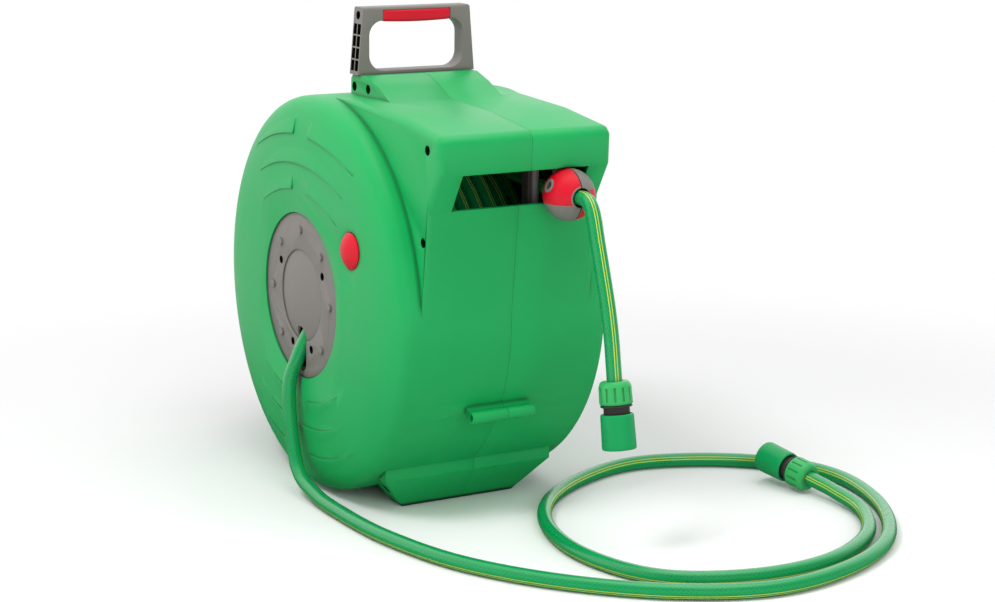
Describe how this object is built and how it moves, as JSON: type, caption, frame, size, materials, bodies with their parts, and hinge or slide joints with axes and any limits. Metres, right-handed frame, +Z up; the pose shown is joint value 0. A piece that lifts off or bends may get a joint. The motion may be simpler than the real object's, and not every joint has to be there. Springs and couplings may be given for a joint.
{
  "type": "wall mounted hose reel",
  "caption": "Wall mounted hose reel: a spring driven drum in a round two part casing that swivels on a wall bracket, with lock button, hose guide, ball stop and coupled hoses.",
  "frame": {"origin": "middle of the wall bracket's four screw holes, on the wall face", "axes": "+Z up the wall, +Y into the wall, so the reel stands out along -Y, +X to the right of someone facing the wall"},
  "size_m": [0.5518, 0.8055, 0.513],
  "materials": {
    "green_shell": "satin moulded plastic",
    "grey_plastic": "satin moulded plastic",
    "red_plastic": "glossy moulded plastic",
    "pale_green": "satin moulded plastic",
    "dark_plastic": "matt moulded plastic",
    "white_plastic": "matt moulded plastic",
    "steel": "zinc plated",
    "seal": "matt",
    "hose": "clear coat over a woven net"
  },
  "bodies": {
    "wall": {"wall_bracket": "grey_plastic", "pivot_tube": "green_shell", "pivot_o_ring": "seal"},
    "reel": {"left_casing": "green_shell", "right_casing": "green_shell", "casing_screws": "steel", "handle": "grey_plastic", "handle_grip": "red_plastic", "hub_cover": "grey_plastic", "spring_cover": "grey_plastic", "axle": "grey_plastic", "spring_arbor": "steel", "guide_rods": "steel", "pawl_pin": "steel", "pawl_spring": "steel", "button_spring": "steel", "supply_hose": "hose", "supply_stem": "grey_plastic", "supply_nut": "pale_green", "supply_collar": "dark_plastic"},
    "drum": {"barrel": "green_shell", "left_flange": "green_shell", "right_flange": "green_shell", "left_bush": "white_plastic", "right_bush": "white_plastic", "ratchet_ring": "dark_plastic", "spring_housing": "grey_plastic", "power_spring": "steel", "water_union": "grey_plastic", "union_seals": "seal", "feed_tube": "grey_plastic", "winding_core": "hose", "wound_hose": "hose"},
    "hose_guide": {"guide_carriage": "dark_plastic", "ball_left": "red_plastic", "ball_right": "grey_plastic", "ball_screw": "steel", "inner_hose": "hose", "outlet_hose": "hose", "outlet_stem": "grey_plastic", "outlet_nut": "pale_green", "outlet_collar": "dark_plastic"},
    "left_roller": {"left_roller": "white_plastic"},
    "right_roller": {"right_roller": "white_plastic"},
    "button": {"lock_button": "red_plastic", "button_cam": "steel"},
    "pawl": {"pawl": "grey_plastic"},
    "outlet_sleeve": {"outlet_sleeve": "green_shell"},
    "supply_sleeve": {"supply_sleeve": "green_shell"}
  },
  "joints": [
    {"name": "reel_swivel", "type": "hinge", "parent": "wall", "child": "reel", "pos_m": [0, -0.05, 0], "axis": [0, 0, 1], "range_deg": [-40, 40]},
    {"name": "drum_spin", "type": "hinge", "parent": "reel", "child": "drum", "pos_m": [0, -0.285, 0.03], "axis": [1, 0, 0], "range_deg": [0, 7200], "stiffness_Nm_per_rad": 0.02, "springref_deg": -5729.58},
    {"name": "guide_slide", "type": "slide", "parent": "reel", "child": "hose_guide", "axis": [1, 0, 0], "range_m": [-0.096, 0], "deforming": ["inner_hose"]},
    {"name": "left_roller_spin", "type": "hinge", "parent": "hose_guide", "child": "left_roller", "pos_m": [0.0345, -0.485, 0.171], "axis": [0, 0, 1], "continuous": true},
    {"name": "right_roller_spin", "type": "hinge", "parent": "hose_guide", "child": "right_roller", "pos_m": [0.0615, -0.485, 0.171], "axis": [0, 0, 1], "continuous": true},
    {"name": "button_press", "type": "slide", "parent": "reel", "child": "button", "axis": [1, 0, 0], "range_m": [0, 0.0055], "stiffness_N_per_m": 600, "springref_m": -0.005, "deforming": ["button_spring"]},
    {"name": "pawl_swing", "type": "hinge", "parent": "reel", "child": "pawl", "pos_m": [-0.101, -0.3777, 0.1295], "axis": [1, 0, 0], "range_deg": [-8.4, 0]},
    {"name": "outlet_sleeve_slide", "type": "slide", "parent": "hose_guide", "child": "outlet_sleeve", "axis": [0, 0.1758, 0.9844], "range_m": [0, 0.005], "stiffness_N_per_m": 400, "springref_m": -0.004},
    {"name": "supply_sleeve_slide", "type": "slide", "parent": "reel", "child": "supply_sleeve", "axis": [0.1618, -0.9776, -0.1348], "range_m": [0, 0.005], "stiffness_N_per_m": 400, "springref_m": -0.004}
  ],
  "couplings": [
    {"joint": "pawl_swing", "follows": "button_press", "rad_per_m": -26.4}
  ]
}
